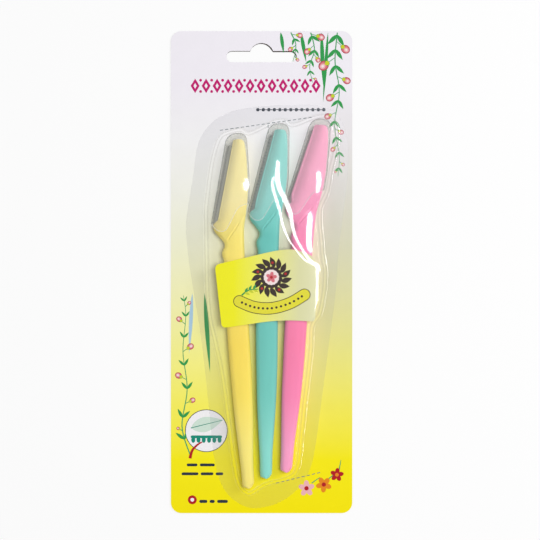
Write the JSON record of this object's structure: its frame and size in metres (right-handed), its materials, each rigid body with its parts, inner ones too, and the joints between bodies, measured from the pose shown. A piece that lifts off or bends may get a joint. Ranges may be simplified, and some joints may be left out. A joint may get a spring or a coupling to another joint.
{
  "type": "eyebrow razor pack",
  "caption": "Carded blister pack of slim eyebrow razors: moulded handles with a step to a slotted head, guarded steel blades, clear pull-off caps and a small insert card.",
  "frame": {"origin": "middle of the hang card's back face, with the pack lying on its back", "axes": "+X across the card to the reader's right, +Y up the card towards its hang slot, +Z out of its printed front"},
  "size_m": [0.0776, 0.206, 0.0091],
  "materials": {
    "card_board": "printed and varnished board, white fading to yellow",
    "blister_film": "clear thermoformed film",
    "insert_board": "printed, semi-gloss",
    "yellow_plastic": "satin moulding",
    "teal_plastic": "satin moulding",
    "pink_plastic": "satin moulding",
    "blade_steel": "ground stainless steel",
    "guard_steel": "stamped thin stainless steel",
    "cap_plastic": "clear moulding, slightly grey"
  },
  "bodies": {
    "card": {"hang_card": "card_board"},
    "blister": {"blister": "blister_film"},
    "insert": {"insert_card": "insert_board"},
    "yellow_razor": {"yellow_handle": "yellow_plastic", "yellow_blade": "blade_steel", "yellow_guard": "guard_steel"},
    "yellow_cap": {"yellow_cap": "cap_plastic"},
    "teal_razor": {"teal_handle": "teal_plastic", "teal_blade": "blade_steel", "teal_guard": "guard_steel"},
    "teal_cap": {"teal_cap": "cap_plastic"},
    "pink_razor": {"pink_handle": "pink_plastic", "pink_blade": "blade_steel", "pink_guard": "guard_steel"},
    "pink_cap": {"pink_cap": "cap_plastic"}
  },
  "joints": [
    {"name": "blister_open", "type": "hinge", "parent": "card", "child": "blister", "pos_m": [0, -0.1009, 0.0005], "axis": [1, 0, 0], "range_deg": [0, 90]},
    {"name": "insert_lift", "type": "slide", "parent": "card", "child": "insert", "axis": [0, 0, 1], "range_m": [0, 0.032]},
    {"name": "yellow_lift", "type": "slide", "parent": "card", "child": "yellow_razor", "axis": [0, 0, 1], "range_m": [0, 0.02]},
    {"name": "teal_lift", "type": "slide", "parent": "card", "child": "teal_razor", "axis": [0, 0, 1], "range_m": [0, 0.02]},
    {"name": "pink_lift", "type": "slide", "parent": "card", "child": "pink_razor", "axis": [0, 0, 1], "range_m": [0, 0.02]},
    {"name": "yellow_uncap", "type": "slide", "parent": "yellow_razor", "child": "yellow_cap", "axis": [0.0871, 0.9962, 0], "range_m": [0, 0.042]},
    {"name": "teal_uncap", "type": "slide", "parent": "teal_razor", "child": "teal_cap", "axis": [0.1582, 0.9874, 0], "range_m": [0, 0.042]},
    {"name": "pink_uncap", "type": "slide", "parent": "pink_razor", "child": "pink_cap", "axis": [0.2191, 0.9757, 0], "range_m": [0, 0.042]}
  ],
  "couplings": [
    {"joint": "insert_lift", "follows": "blister_open", "m_per_rad": 0.0203},
    {"joint": "yellow_lift", "follows": "blister_open", "m_per_rad": 0.0127},
    {"joint": "teal_lift", "follows": "blister_open", "m_per_rad": 0.0127},
    {"joint": "pink_lift", "follows": "blister_open", "m_per_rad": 0.0127},
    {"joint": "yellow_uncap", "follows": "blister_open", "m_per_rad": 0.0267},
    {"joint": "teal_uncap", "follows": "blister_open", "m_per_rad": 0.0267},
    {"joint": "pink_uncap", "follows": "blister_open", "m_per_rad": 0.0267}
  ]
}
